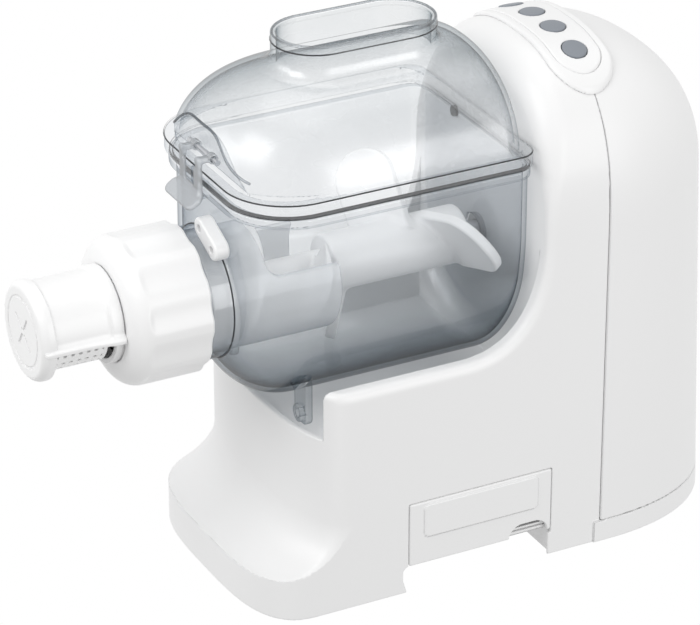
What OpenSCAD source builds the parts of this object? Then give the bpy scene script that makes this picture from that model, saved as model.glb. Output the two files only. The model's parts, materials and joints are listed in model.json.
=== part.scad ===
// Electric pasta maker: a narrow white tower with a clear mixing bowl in front of it.
// Millimetres, +Z up, nozzle towards -Y. The drawing measures y from the tip of the
// nozzle, and place() moves it so that the origin lies under the middle of the machine.

/* [Tower] */
// Width over the side walls
body_w = 152; // [140:1:170]
// Height of the arched top, without the control bezel
tower_h = 282; // [278:1:290]
// Height at which the sides start to arch over
arch_z = 190; // [175:1:200]
// Squareness of the arch: 2 is an ellipse
arch_n = 2.5; // [2.2:0.1:3]
// From the nozzle tip to the tower's front face
face_y = 268; // [266:0.5:270]
// From the nozzle tip to the seam between front housing and rear cover
seam_y = 305; // [304:0.5:307]
// From the nozzle tip to the back of the machine
rear_y = 399; // [394:1:410]
// Wall of the casings
wall = 3; // [2.4:0.2:3.4]
// Visible gap at the seams
seam_gap = 0.4; // [0.2:0.1:0.8]

/* [Cradle and foot] */
// Top of the side walls that hold the bowl
cradle_h = 130; // [124:1:134]
// Thickness of those side walls
cradle_wall = 10; // [9:0.5:10.5]
// Top of the front wall below the bowl
front_wall_h = 102; // [98:0.5:102.5]
// Front of the column
column_y = 129.5; // [125:0.5:132]
// Front of the foot
foot_y = 100; // [94:1:106]
// Height of the foot's edge
foot_h = 24; // [20:1:30]
// Clear height under the middle of the base
arch_clear = 16.6; // [14:0.2:18]
// Height of the rubber feet below the base
foot_gap = 0.8; // [0.6:0.1:1.4]

/* [Bowl and lid] */
// Height of the drive axis
axis_z = 168.8; // [167:0.2:171]
// Outer radius of the bowl's round bottom
bowl_r = 62; // [60:0.5:63]
// Front of the bowl
bowl_y = 105; // [103:0.5:107]
// Top of the bowl's rim
rim_z = 231; // [229:0.5:233]
// Wall of the bowl and the lid
clear_wall = 2.5; // [2:0.1:3]
// Top of the lid's dome
lid_h = 288.5; // [284:0.5:291]
// Top of the feed chute
chute_h = 304; // [300:1:312]
// Length of the feed chute, front to back
chute_l = 92; // [80:1:96]
// Width of the feed chute
chute_w = 47; // [40:1:52]

/* [Nozzle] */
// Outer radius of the locking ring
ring_r = 40.5; // [40:0.5:43]
// Front of the locking ring
ring_y = 46; // [44:0.5:48]
// Back of the locking ring
ring_back = 90.4; // [88:0.2:91.4]
// Radius of the ring's front opening
ring_bore_r = 25.8; // [25:0.1:27]
// Outer radius of the extruder tube
tube_r = 33; // [32:0.2:33.4]
// Rear end of the extruder tube
tube_end = 168; // [150:1:169]
// Outer radius of the cutter cap
cap_r = 27; // [26.4:0.2:28]

/* [Drive] */
// Radius of the drive shaft
shaft_r = 5; // [4:0.5:6]
// Pitch radius of the gear on the drive shaft
out_gear_r = 36.7; // [34:0.1:40]
// Pitch radius of the small idler gear
idler_small_r = 10.1; // [9:0.1:12]
// Pitch radius of the large idler gear
idler_big_r = 33.9; // [30:0.1:36]
// Pitch radius of the motor pinion
pinion_r = 8.1; // [7:0.1:9]
// Radius of the motor's can
motor_r = 30; // [26:0.5:32]
// Length of the motor's can
motor_l = 62; // [55:1:63]

/* [Controls] */
// Length of the control bezel over the arch
bezel_w = 112; // [108:1:116]
// Width of the bezel, front to back
bezel_d = 37; // [36:0.5:40]
// Radius of a push button
button_r = 6.8; // [6:0.1:7.5]
// Distance between two buttons
button_gap = 22; // [20:0.5:24]
// Travel of a push button
button_travel = 0.8; // [0.5:0.1:1]

/* [Drawer] */
// Front to back width of the drawer's panel
drawer_w = 87.4; // [80:0.2:87.4]
// Top of the drawer's panel
drawer_top = 54.8; // [48:0.2:58]
// How far the drawer reaches into the base
drawer_l = 120; // [100:1:125]

/* [Clearances] */
// Running gap round a turning shaft
run_gap = 0.05; // [0.03:0.01:0.1]
// Gap round a piece that slides or lifts out
slide_gap = 0.3; // [0.2:0.05:0.4]
// Gap between pieces that are fixed together
fix_gap = 0.15; // [0.1:0.05:0.25]

/* [Hidden] */
$fn = 48;
eps = 0.01;
half_w = body_w / 2;
base_z = foot_gap;
far = 500;

// Tower profile
face_lean = 22;
face_lean_z = tower_h - 82;
crown_y = 306;
rear_z = 202;
rear_n = 2.1;
rear_lean = 8.6;
side_rise = 0.6;
plan_n = 2.35;
tray_z = 14;

// Foot, column and the curve between them
foot_n = 3.3;
foot_b = 42;
column_n = 2.6;
column_b = 26;
fillet_r = column_y - foot_y - 1.5;
loft_back_y = 160;
floor_z = front_wall_h - 4;
floor_t = 3;
inner_w = half_w - cradle_wall;
blend_y = 50;
blend_z = 65;
blend_n = 2.4;
base_mid_y1 = 183;
base_mid_y2 = 272.4;
plate_t = 2.4;

// Bowl
bowl_back = face_y - 2;
bowl_front_r = 34;
bowl_back_r = 10;
bowl_toe_r = 28;
rim_lip = 3.5;
rim_t = 5;
gasket_t = 1.8;
lid_z = rim_z + gasket_t + 2 * fix_gap;
skirt_h = 8;
skirt_lip = 3;
lid_n = 2.5;
lid_nose = 84;
nose_n = 2.2;
lid_back_r = 14;
chute_y = 191.8;
chute_wall = 3;
neck_y = 92;
neck_r = tube_r + slide_gap + 2.6;
shaft_hole_r = shaft_r + 4;

// Latch
latch_z = 249;
latch_y = 104.5;
latch_w = 24;
latch_pin_r = 1.5;
latch_hub_r = 3;
latch_plate_y = 95.6;
latch_plate_t = 2.7;
latch_low_z = 230;
latch_flare = 57;
pocket_w = latch_w + 4.8;
pocket_top = 260;
pocket_back = 108;

// Nozzle
die_r = tube_r - 0.5;
die_t = 7;
lip_t = 6;
die_y = ring_y + lip_t + 1;
tube_y = die_y + die_t + fix_gap;
tube_wall = 3.6;
auger_r = tube_r - tube_wall - 1.2;
auger_core_r = 8;
spindle_r = 4;
hub_r = 16;
hub_y = tube_end + 4;
hub_end = 255;
coupler_r = shaft_r + 1.2;
coupler_y = 244;
socket_r = coupler_r + slide_gap;
paddle_reach = bowl_r - clear_wall - 2.5;

// Drive train, from the front wall to the back
gear_face_y = face_y + 13;
gear_t = 7;
gear_step = 2;
big_gear_y = gear_face_y + gear_t + gear_step;
frame_y = big_gear_y + gear_t + 2;
frame_t = 3;
mesh_gap = 0.3;
idler_z = axis_z - out_gear_r - idler_small_r;
motor_z = idler_z - idler_big_r - pinion_r;
axle_r = 3;
bearing_r = 11;
bearing_t = 7;
rear_bearing_r = 9;
post_x = 42;
post_zs = [108, 205];
post_r = 5;
motor_wall = 3;
motor_shaft_r = 3;
rotor_gap = 1.5;

// Controls
bezel_rise = 2.2;
strip_rise = 2.6;
strip_margin = 4.8;
button_xs = [for (i = [-1.5:1:1.5]) i * button_gap];
button_rise = 3.1;
button_foot = 2.4;
board_z = 262;

// Drawer
drawer_y1 = 186.4;
drawer_floor_z = arch_clear + plate_t + slide_gap;
drawer_front_t = 3.2;
drawer_pad_t = 0.8;
drawer_wall = 2;

// Fastenings and feet
screw_r = 1.8;
boss_r = 6;
front_boss = [half_w - 8, 165];
rear_boss = [half_w - 13, 345];
feet = [[half_w - 14, 120], [half_w - 12, 313], [36, 372]];
foot_pad_r = 7;

// ---- Placing and profiles ----

module place() translate([0, -rear_y / 2, 0]) children();

// Extrudes a profile drawn in x and z from y1 to y2.
module along_y(y1, y2) translate([0, y2, 0]) rotate([90, 0, 0]) linear_extrude(y2 - y1) children();

// Extrudes a profile drawn in y and z from x1 to x2.
module along_x(x1, x2) translate([x1, 0, 0]) rotate([90, 0, 90]) linear_extrude(x2 - x1) children();

module rod(r, y1, y2, x = 0, z = axis_z) translate([x, y1, z]) rotate([-90, 0, 0]) cylinder(r = r, h = y2 - y1);

module ring(r_out, r_in, y1, y2, x = 0, z = axis_z) difference() {
    rod(r_out, y1, y2, x, z);
    rod(r_in, y1 - 1, y2 + 1, x, z);
}

module box(x1, x2, y1, y2, z1, z2) translate([x1, y1, z1]) cube([x2 - x1, y2 - y1, z2 - z1]);

module mirrored() {
    children();
    mirror([1, 0, 0]) children();
}

// A quarter of a superellipse as a list of [across, up], from the side to the top.
function super_q(a, b, n, steps) = [for (i = [0:steps])
    let (t = 90 * i / steps) [a * pow(cos(t), 2 / n), b * pow(sin(t), 2 / n)]];

// The arch over a half width w, rising h above z0, closed at z_low.
function arch_pts(w, h, z0, n, z_low, steps = 14) = concat(
    [[w, z_low]],
    [for (p = super_q(w, h, n, steps)) [p[0], z0 + p[1]]],
    [for (i = [1:steps]) let (p = super_q(w, h, n, steps)[steps - i]) [-p[0], z0 + p[1]]],
    [[-w, z_low]]);

// Front outline of the foot or the column in x and y, from right to left.
function front_pts(w, y, b, n, steps = 18) = concat(
    [for (p = super_q(w, b, n, steps)) [p[0], y + b - p[1]]],
    [for (i = [1:steps]) let (p = super_q(w, b, n, steps)[steps - i]) [-p[0], y + b - p[1]]]);

module arch_prism(inset, z_low, y1, y2) along_y(y1, y2)
    polygon(arch_pts(half_w - inset, tower_h - arch_z - inset, arch_z, arch_n, z_low));

// Side view of the tower: a front face that leans back and a round rear.
module side_prism(inset, z_low) along_x(-half_w - 1, half_w + 1) polygon(concat(
    [[face_y + inset, z_low]],
    [for (p = super_q(face_lean - inset, tower_h - face_lean_z - inset + side_rise, 2, 8))
        [face_y + face_lean - p[0], face_lean_z + p[1]]],
    [for (i = [0:14]) let (p = super_q(rear_y - rear_lean - crown_y - inset,
        tower_h - rear_z - inset + side_rise, rear_n, 14)[14 - i]) [crown_y + p[0], rear_z + p[1]]],
    [[rear_y - inset, 0], [rear_y - inset, z_low]]));

// Top view of the rear cover.
module plan_prism(inset, z1, z2) translate([0, 0, z1]) linear_extrude(z2 - z1) polygon(concat(
    [[half_w - inset, seam_y - 50]],
    [for (i = [0:16]) let (p = super_q(half_w - inset, rear_y - seam_y - inset, plan_n, 16)[i])
        [p[0], seam_y + p[1]]],
    [for (i = [1:16]) let (p = super_q(half_w - inset, rear_y - seam_y - inset, plan_n, 16)[16 - i])
        [-p[0], seam_y + p[1]]],
    [[-half_w + inset, seam_y - 50]]));

// Rectangle with round corners, rf at the front and rb at the back.
module round_plan(w, y1, y2, rf, rb) {
    translate([-w + rf, y1]) square([2 * (w - rf), y2 - y1]);
    translate([-w, y1 + rf]) square([2 * w, y2 - y1 - rf - rb]);
    translate([-w + rb, y1 + rf]) square([2 * (w - rb), y2 - y1 - rf]);
    for (s = [-1, 1]) {
        translate([s * (w - rf), y1 + rf]) circle(rf);
        translate([s * (w - rb), y2 - rb]) circle(rb);
    }
}

module stadium(l, w) {
    square([l - w, w], center = true);
    for (s = [-1, 1]) translate([s * (l - w) / 2, 0]) circle(w / 2);
}

// ---- Casings ----

// Outer form of the foot and the column, with the hollow curve that joins them.
function foot_ring(f, z) = let (
    a = front_pts(half_w, foot_y, foot_b, foot_n),
    b = front_pts(half_w, column_y, column_b, column_n))
    concat([for (i = [0:len(a) - 1]) [a[i][0] * (1 - f) + b[i][0] * f, a[i][1] * (1 - f) + b[i][1] * f, z]],
        [[-half_w, loft_back_y, z], [half_w, loft_back_y, z]]);

module foot_column() {
    loft_steps = 6;
    rings = concat(
        [foot_ring(0, base_z)],
        [for (k = [0:loft_steps]) let (t = 90 * k / loft_steps)
            foot_ring(sin(t), foot_h + fillet_r * (1 - cos(t)))],
        [foot_ring(1, cradle_h)]);
    m = len(rings[0]);
    last = len(rings) - 1;
    polyhedron(
        points = [for (r = rings) for (p = r) p],
        faces = concat(
            [[for (i = [m - 1:-1:0]) i]],
            [for (k = [0:last - 1]) for (i = [0:m - 1]) [(k + 1) * m + (i + 1) % m, (k + 1) * m + i, k * m + i]],
            [for (k = [0:last - 1]) for (i = [0:m - 1]) [k * m + (i + 1) % m, (k + 1) * m + (i + 1) % m, k * m + i]],
            [[for (i = [0:m - 1]) last * m + i]]));
}

// Curve by which a side wall of the cradle sweeps up into the tower.
module cradle_blend() along_x(inner_w, half_w) polygon(concat(
    [for (p = super_q(blend_y, blend_z, blend_n, 12)) [face_y - blend_y + p[0], cradle_h + blend_z - p[1]]],
    [[face_y - blend_y, cradle_h - 1], [face_y + 1, cradle_h - 1], [face_y + 1, cradle_h + blend_z]]));

module button_axis(i) translate([button_xs[i], seam_y, arch_height(button_xs[i])])
    rotate([0, arch_slope(button_xs[i]), 0]) children();

function arch_height(x) = arch_z + (tower_h - arch_z) * pow(1 - pow(abs(x) / half_w, arch_n), 1 / arch_n);
function arch_slope(x) = let (h = 0.01) atan((arch_height(x - h) - arch_height(x + h)) / (2 * h));

module button_holes(r) for (i = [0:3]) button_axis(i) translate([0, 0, -12]) cylinder(r = r, h = 24);

module housing_inside() {
    intersection() {
        arch_prism(wall, -1, face_y + wall, seam_y + 1);
        side_prism(wall, -2);
    }
    translate([0, 0, -1]) linear_extrude(floor_z - floor_t + 1) intersection() {
        polygon(concat(front_pts(half_w - wall, column_y + wall, column_b, column_n),
            [[-half_w + wall, seam_y], [half_w - wall, seam_y]]));
        translate([-half_w, 0]) square([body_w, seam_y - 5]);
    }
    translate([0, 0, -1]) linear_extrude(foot_h - wall + 1)
        polygon(concat(front_pts(half_w - wall, foot_y + wall, foot_b, foot_n),
            [[-half_w + wall, loft_back_y], [half_w - wall, loft_back_y]]));
}

module bowl_space() {
    translate([0, 0, floor_z]) linear_extrude(cradle_h) intersection() {
        polygon(concat(front_pts(half_w, column_y + wall, column_b, column_n),
            [[-half_w, face_y], [half_w, face_y]]));
        translate([-inner_w, 0]) square([2 * inner_w, face_y]);
    }
    box(-inner_w, inner_w, foot_y - 5, face_y, front_wall_h, chute_h);
}

// Low band round the rear on which the rear cover stands.
module tray_ring() difference() {
    intersection() {
        box(-half_w, half_w, seam_y - 5, rear_y, base_z, tray_z);
        plan_prism(0, 0, 50);
    }
    intersection() {
        box(-half_w, half_w, seam_y - 6, rear_y, base_z - 1, tray_z + 1);
        plan_prism(wall, -1, 50);
    }
}

module front_housing() place() color("whitesmoke") difference() {
    union() {
        difference() {
            union() {
                intersection() {
                    arch_prism(0, base_z, face_y, seam_y);
                    side_prism(0, 0);
                }
                foot_column();
                box(-half_w, half_w, loft_back_y - 5, face_y + 2, base_z, cradle_h);
                mirrored() cradle_blend();
            }
            housing_inside();
            bowl_space();
        }
        tray_ring();
        rod(bearing_r + 5, face_y + 1, face_y + wall + 1 + bearing_t);
        rod(axle_r + 4, face_y + 1, gear_face_y - 1, 0, idler_z);
        for (x = [-post_x, post_x]) for (z = post_zs) rod(post_r, face_y + 1, frame_y, x, z);
        mirrored() box(28, 32, 165, face_y - 6, floor_z - 1, axis_z - sqrt(bowl_r * bowl_r - 28 * 28) - slide_gap);
        box(-16, 16, face_y + 1, face_y + 29, board_z - 4, board_z - fix_gap);
        mirrored() translate([front_boss[0], front_boss[1], base_z + plate_t + fix_gap])
            cylinder(r = boss_r, h = 36);
    }
    rod(bearing_r + fix_gap / 2, face_y + wall + 1, face_y + wall + 2 + bearing_t);
    rod(shaft_hole_r, face_y - 1, face_y + wall + 2);
    rod(axle_r + run_gap, face_y + 4, gear_face_y, 0, idler_z);
    for (x = [-post_x, post_x]) for (z = post_zs) rod(screw_r + fix_gap, frame_y - 14, frame_y + 1, x, z);
    rod(interlock_r + slide_gap, face_y - 1, face_y + wall + 3, interlock_x, interlock_z);
    mirrored() translate([front_boss[0], front_boss[1], 0]) cylinder(r = screw_r + fix_gap, h = 20);
    button_holes(button_r + slide_gap);
    under_cut(base_z - 2);
    box(half_w - wall - 1, half_w + 1, drawer_y1 - slide_gap, drawer_y1 + drawer_w + slide_gap,
        arch_clear - eps, drawer_top + slide_gap);
}

interlock_r = 3;
interlock_x = -28;
interlock_z = 227;

// What is cut away under the middle of the base.
module under_cut(z_low) along_x(-half_w - 1, half_w + 1) polygon([
    [base_mid_y1, z_low], [base_mid_y1 + 2, arch_clear - 3], [base_mid_y1 + 8, arch_clear],
    [base_mid_y2 - 6, arch_clear], [base_mid_y2 - 1, arch_clear - 3], [base_mid_y2, z_low]]);

module vent_slots() for (i = [0:6]) {
    box(-30, 30, rear_y - 20, rear_y + 1, 60 + i * 8, 63 + i * 8);
}

module rear_cover() place() color("white") difference() {
    union() {
        difference() {
            intersection() {
                arch_prism(0, tray_z + seam_gap, seam_y + seam_gap, rear_y + 1);
                side_prism(0, 0);
                plan_prism(0, 0, tower_h + 2);
            }
            intersection() {
                arch_prism(wall, 0, seam_y - 1, rear_y + 1);
                side_prism(wall, -1);
                plan_prism(wall, 0, tower_h + 1);
            }
        }
        intersection() {
            plan_prism(wall / 2, tray_z + seam_gap, 60);
            mirrored() translate([rear_boss[0], rear_boss[1], tray_z + seam_gap]) cylinder(r = boss_r, h = 30);
        }
    }
    vent_slots();
    rod(gland_r + fix_gap, rear_y - 12, rear_y + 1, 0, gland_z);
    mirrored() translate([rear_boss[0], rear_boss[1], 0]) cylinder(r = screw_r + fix_gap, h = 30);
    button_holes(button_r + slide_gap);
}

gland_r = 6;
gland_z = 34;

module cord_gland() place() color("dimgray") difference() {
    union() {
        rod(gland_r, rear_y - 9, rear_y, 0, gland_z);
        rod(gland_r + 3, rear_y - 9, rear_y - wall - 2.8, 0, gland_z);
    }
    rod(3.6, rear_y - 10, rear_y + 1, 0, gland_z);
}

// Bottom of the machine: a low front, a raised middle and a tray under the rear cover.
module base_plate() place() color("gainsboro") difference() {
    union() {
        intersection() {
            box(-half_w, half_w, 0, base_mid_y1, base_z, base_z + plate_t);
            linear_extrude(far) polygon(concat(
                front_pts(half_w - wall - fix_gap, foot_y + wall + fix_gap, foot_b, foot_n),
                [[-half_w + wall + fix_gap, far], [half_w - wall - fix_gap, far]]));
        }
        box(-mid_w, mid_w, base_mid_y1 - plate_t, base_mid_y1, base_z, arch_clear + plate_t);
        box(-mid_w, mid_w, base_mid_y1 - plate_t, rear_riser_y + plate_t, arch_clear, arch_clear + plate_t);
        box(-mid_w, mid_w, rear_riser_y, rear_riser_y + plate_t, base_z, arch_clear + plate_t);
        intersection() {
            box(-half_w, half_w, rear_riser_y, rear_y, base_z, base_z + plate_t);
            plan_prism(wall + fix_gap, 0, 50);
        }
        for (x = [-30, 30]) for (y = [318, 362]) translate([x, y, base_z]) cylinder(r = 4, h = board_rest_z - base_z);
        mirrored() translate([rear_boss[0] - 2, rear_boss[1], base_z]) cylinder(r = boss_r, h = tray_z - base_z);
    }
    mirrored() for (p = [front_boss, rear_boss]) translate([p[0], p[1], 0]) {
        cylinder(r = screw_r + fix_gap, h = 30);
        cylinder(r = screw_r * 2 + fix_gap, h = base_z + 1.4);
    }
    mirrored() for (p = feet) translate([p[0], p[1], 0]) cylinder(r = 2.6, h = 20);
}

mid_w = half_w - wall - 1.5;
rear_riser_y = drawer_y1 + drawer_w + 0.6;
board_rest_z = 20;

module rubber_feet() place() color("dimgray") mirrored() for (p = feet) translate([p[0], p[1], 0]) {
    cylinder(r = foot_pad_r, h = base_z);
    cylinder(r = 2.5, h = base_z + plate_t);
}

module base_screws() place() color("silver") mirrored() for (p = [front_boss, rear_boss])
    translate([p[0], p[1], base_z]) {
        cylinder(r = screw_r * 2, h = 1.2);
        cylinder(r = screw_r, h = 16);
    }

// ---- Controls ----

// A slice of the arch's skin, from low to high above it, inside a stadium seen from above.
module arch_skin(low, high, l, w) intersection() {
    difference() {
        arch_prism(-high, arch_z, seam_y - 40, seam_y + 40);
        arch_prism(-low, arch_z - 1, seam_y - 41, seam_y + 41);
    }
    translate([0, seam_y, arch_z]) linear_extrude(far) stadium(l, w);
}

module control_bezel() place() color("white") difference() {
    arch_skin(fix_gap, bezel_rise, bezel_w, bezel_d);
    translate([0, seam_y, arch_z]) linear_extrude(far)
        stadium(bezel_w - 2 * strip_margin * 1.6 + 2 * fix_gap, bezel_d - 2 * strip_margin + 2 * fix_gap);
}

module control_strip() place() color("white") difference() {
    arch_skin(fix_gap, strip_rise, bezel_w - 2 * strip_margin * 1.6, bezel_d - 2 * strip_margin);
    button_holes(button_r + slide_gap);
}

module push_button(i) place() color("slategray") button_axis(i) translate([0, 0, -button_foot]) {
    cylinder(r = button_r, h = button_foot + button_rise);
    translate([0, 0, -2]) cylinder(r = 2.5, h = 3);
}

module button_1() push_button(0);
module button_2() push_button(1);
module button_3() push_button(2);
module button_4() push_button(3);

module control_board() place() color("darkgreen") {
    box(-42, 42, seam_y - 11, seam_y + 11, board_z, board_z + 1.6);
    for (i = [0:3]) translate([button_xs[i], seam_y, board_z + 1.5]) {
        translate([-3, -3, 0]) cube([6, 6, 3]);
    }
}

// ---- Drive ----

// A gear drawn up to its pitch circle, less half the gap that keeps it free of its mate.
module gear(pitch_r, teeth, y, z, bore_r) {
    outer = pitch_r - mesh_gap / 2;
    depth = 2.2;
    difference() {
        rod(outer, y, y + gear_t, 0, z);
        for (i = [0:teeth - 1]) translate([0, y - 1, z]) rotate([0, 360 * i / teeth, 0])
            translate([outer - depth, 0, -PI * outer / teeth / 2])
                cube([depth + 1, gear_t + 2, PI * outer / teeth]);
        rod(bore_r, y - 1, y + gear_t + 1, 0, z);
    }
}

module drive_shaft() place() color("silver") {
    rod(shaft_r, coupler_y + 10, frame_y + frame_t);
    translate([0, coupler_y, axis_z]) rotate([-90, 0, 0]) cylinder(r = coupler_r, h = 14, $fn = 6);
}

module output_gear() place() color("ivory") {
    gear(out_gear_r, 36, gear_face_y, axis_z, shaft_r + run_gap);
}

module idler_gear() place() color("ivory") {
    gear(idler_small_r, 10, gear_face_y, idler_z, axle_r + run_gap);
    gear(idler_big_r, 34, big_gear_y, idler_z, axle_r + run_gap);
    ring(idler_small_r - 3, axle_r + run_gap, gear_face_y + gear_t - 1, big_gear_y + 1, 0, idler_z);
}

module idler_axle() place() color("silver") {
    rod(axle_r, face_y + 4, frame_y + frame_t, 0, idler_z);
}

module front_bearing() place() color("silver") {
    ring(bearing_r, shaft_r + run_gap, face_y + wall + 1.1, face_y + wall + 1 + bearing_t);
}

module rear_bearing() place() color("silver") {
    ring(rear_bearing_r, shaft_r + run_gap, frame_y - 1, frame_y + frame_t);
}

module shaft_seal() place() color("dimgray") {
    ring(shaft_hole_r - fix_gap, shaft_r + slide_gap, face_y - 1.4, face_y + wall + 1);
}

module gear_frame() place() color("lightgray") difference() {
    box(-post_x - 8, post_x + 8, frame_y, frame_y + frame_t, motor_z - motor_r - 4, post_zs[1] + 8);
    rod(rear_bearing_r + fix_gap / 2, frame_y - 1, frame_y + frame_t + 1);
    rod(axle_r + run_gap, frame_y - 1, frame_y + frame_t + 1, 0, idler_z);
    rod(motor_shaft_r + 3, frame_y - 1, frame_y + frame_t + 1, 0, motor_z);
    for (x = [-post_x, post_x]) for (z = post_zs) rod(screw_r + fix_gap, frame_y - 1, frame_y + frame_t + 1, x, z);
}

module frame_screws() place() color("silver") for (x = [-post_x, post_x]) for (z = post_zs) {
    rod(screw_r, frame_y - 12, frame_y + frame_t + 1, x, z);
    rod(screw_r * 2, frame_y + frame_t + 0.05, frame_y + frame_t + 2, x, z);
}

motor_y = frame_y + frame_t + fix_gap;
motor_end = motor_y + motor_l;

module motor_can() place() color("gray") difference() {
    rod(motor_r, motor_y, motor_end, 0, motor_z);
    rod(motor_r - motor_wall, motor_y + motor_wall, motor_end - motor_wall, 0, motor_z);
    rod(motor_shaft_r + run_gap, motor_y - 1, motor_end + 1, 0, motor_z);
}

module motor_rotor() place() color("darkgoldenrod") {
    rod(motor_r - motor_wall - rotor_gap, motor_y + motor_wall + 2, motor_end - motor_wall - 2, 0, motor_z);
    rod(motor_shaft_r, big_gear_y - 1, motor_end + 10, 0, motor_z);
}

module motor_pinion() place() color("silver") {
    gear(pinion_r, 8, big_gear_y, motor_z, motor_shaft_r + run_gap);
}

module cooling_fan() place() color("dimgray") {
    fan_y = motor_end + 2;
    ring(6, motor_shaft_r + run_gap, fan_y, fan_y + 7, 0, motor_z);
    for (i = [0:6]) translate([0, fan_y, motor_z]) rotate([0, 360 * i / 7, 0])
        translate([5, 0, -1]) rotate([25, 0, 0]) cube([17, 5, 1.6]);
}

module power_board() place() color("darkgreen") {
    box(-40, 40, 308, 372, board_rest_z + fix_gap, board_rest_z + fix_gap + 1.6);
    box(-30, -10, 314, 334, board_rest_z + 1, board_rest_z + 14);
    box(8, 26, 340, 364, board_rest_z + 1, board_rest_z + 12);
}

module interlock_pin() place() color("dimgray") {
    rod(interlock_r, face_y - 1.4, face_y + wall + 6, interlock_x, interlock_z);
    rod(interlock_r + 2, face_y + wall + 1.6, face_y + wall + 4, interlock_x, interlock_z);
}

// ---- Storage drawer ----

module storage_drawer() place() color("white") difference() {
    union() {
        box(half_w - drawer_l, half_w - drawer_pad_t - 1, drawer_y1 + 2, drawer_y1 + drawer_w - 2,
            drawer_floor_z, drawer_top - 1);
        box(half_w - drawer_pad_t - drawer_front_t, half_w - drawer_pad_t, drawer_y1, drawer_y1 + drawer_w,
            arch_clear + slide_gap, drawer_top);
        translate([half_w - drawer_pad_t - 1, drawer_y1 + drawer_w / 2, (drawer_top + 31) / 2])
            rotate([90, 0, 90]) linear_extrude(drawer_pad_t + 1)
            drawer_pad(drawer_w - 17, drawer_top - 35, 3);
    }
    box(half_w - drawer_l + drawer_wall, half_w - drawer_pad_t - drawer_front_t, drawer_y1 + 2 + drawer_wall,
        drawer_y1 + drawer_w - 2 - drawer_wall, drawer_floor_z + drawer_wall, drawer_top + 1);
    translate([half_w - drawer_front_t - drawer_pad_t - 0.5, drawer_y1 + drawer_w - 14, arch_clear])
        rotate([90, 0, 90]) linear_extrude(drawer_front_t + 2) stadium(24, 16);
}

module drawer_pad(w, h, r) {
    square([w - 2 * r, h], center = true);
    square([w, h - 2 * r], center = true);
    for (i = [-1, 1]) for (j = [-1, 1]) translate([i * (w / 2 - r), j * (h / 2 - r)]) circle(r);
}

spare_die_r = 17;

module spare_dies() place() color("white") for (i = [0:2])
    translate([half_w - drawer_l + 23 + i * 36, drawer_y1 + drawer_w / 2, drawer_floor_z + drawer_wall + 0.1])
        difference() {
            cylinder(r = spare_die_r, h = die_t);
            translate([0, 0, -1]) cylinder(r = spindle_r + 0.1, h = die_t + 2);
            for (k = [0:5]) rotate(60 * k) translate([11, 0, -1]) cylinder(r = 1.2 + i, h = die_t + 2);
        }

// ---- Bowl and lid ----

// The bowl's solid form, smaller by inset on every side.
module bowl_form(inset, z_top) intersection() {
    along_y(bowl_y + inset, bowl_back - inset) union() {
        intersection() {
            translate([0, axis_z]) circle(bowl_r - inset);
            translate([-far, z_top - far]) square([2 * far, far]);
        }
        translate([-bowl_r + inset, axis_z]) square([2 * (bowl_r - inset), z_top - axis_z]);
    }
    linear_extrude(far) round_plan(bowl_r - inset, bowl_y + inset, bowl_back - inset,
        bowl_front_r - inset, bowl_back_r - inset);
    along_x(-bowl_r - 1, bowl_r + 1) union() {
        translate([bowl_y + bowl_toe_r, axis_z - bowl_r + bowl_toe_r]) circle(bowl_toe_r - inset);
        translate([bowl_y + bowl_toe_r, axis_z - bowl_r - 1]) square([far, far]);
        translate([bowl_y - 1, axis_z - bowl_r + bowl_toe_r]) square([far, far]);
    }
}

lug_x = [37, 51];
lug_y = 137;
lug_t = 4;

module mixing_bowl() place() color([0.72, 0.76, 0.79, 0.5]) difference() {
    union() {
        bowl_form(0, rim_z);
        translate([0, 0, rim_z - rim_t]) linear_extrude(rim_t)
            round_plan(bowl_r + rim_lip, bowl_y - rim_lip, bowl_back, bowl_front_r, bowl_back_r);
        rod(neck_r, neck_y, bowl_y + 6);
        mirrored() box(lug_x[0], lug_x[1], lug_y, lug_y + lug_t, front_wall_h + 1.2, axis_z - 20);
        box(-4.5, 4.5, catch_y, bowl_y + 1, rim_z - rim_t - 2, rim_z);
        box(-4.5, 4.5, catch_y, catch_y + 2.8, rim_z - rim_t, rim_z + 9);
    }
    bowl_form(clear_wall, rim_z + 20);
    rod(tube_r + slide_gap, neck_y - 1, bowl_y + 10);
    rod(shaft_hole_r, bowl_back - 6, bowl_back + 1);
    mirrored() rod(2.5, lug_y - 1, lug_y + lug_t + 1, (lug_x[0] + lug_x[1]) / 2, front_wall_h + 7);
}

catch_y = latch_plate_y + latch_plate_t + slide_gap;

module bowl_gasket() place() color("dimgray") translate([0, 0, rim_z + fix_gap]) linear_extrude(gasket_t) difference() {
    round_plan(bowl_r + rim_lip - 0.5, bowl_y - rim_lip + 0.5, bowl_back - 0.5, bowl_front_r - 0.5, bowl_back_r - 0.5);
    round_plan(bowl_r - clear_wall, bowl_y + clear_wall, bowl_back - clear_wall,
        bowl_front_r - clear_wall, bowl_back_r - clear_wall);
}

// The lid's solid form, smaller by inset: an arch over the bowl with a round front.
module lid_form(inset, z_low) intersection() {
    along_y(lid_y1 + inset, bowl_back - inset)
        polygon(arch_pts(lid_w - inset, lid_h - skirt_z - inset, skirt_z, lid_n, z_low, 16));
    linear_extrude(far) nose_plan(inset);
    along_x(-lid_w - 1, lid_w + 1) polygon(concat(
        [[lid_y1 + inset, z_low]],
        [for (p = super_q(lid_nose - inset, lid_h - skirt_z - inset + side_rise, nose_n, 14))
            [lid_y1 + lid_nose - p[0], skirt_z + p[1]]],
        [for (i = [0:8]) let (p = super_q(lid_back_r - inset, lid_back_r * 2 - inset, 2, 8)[8 - i])
            [bowl_back - lid_back_r + p[0], lid_h + side_rise - lid_back_r * 2 + p[1]]],
        [[bowl_back - inset, z_low]]));
}

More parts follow.
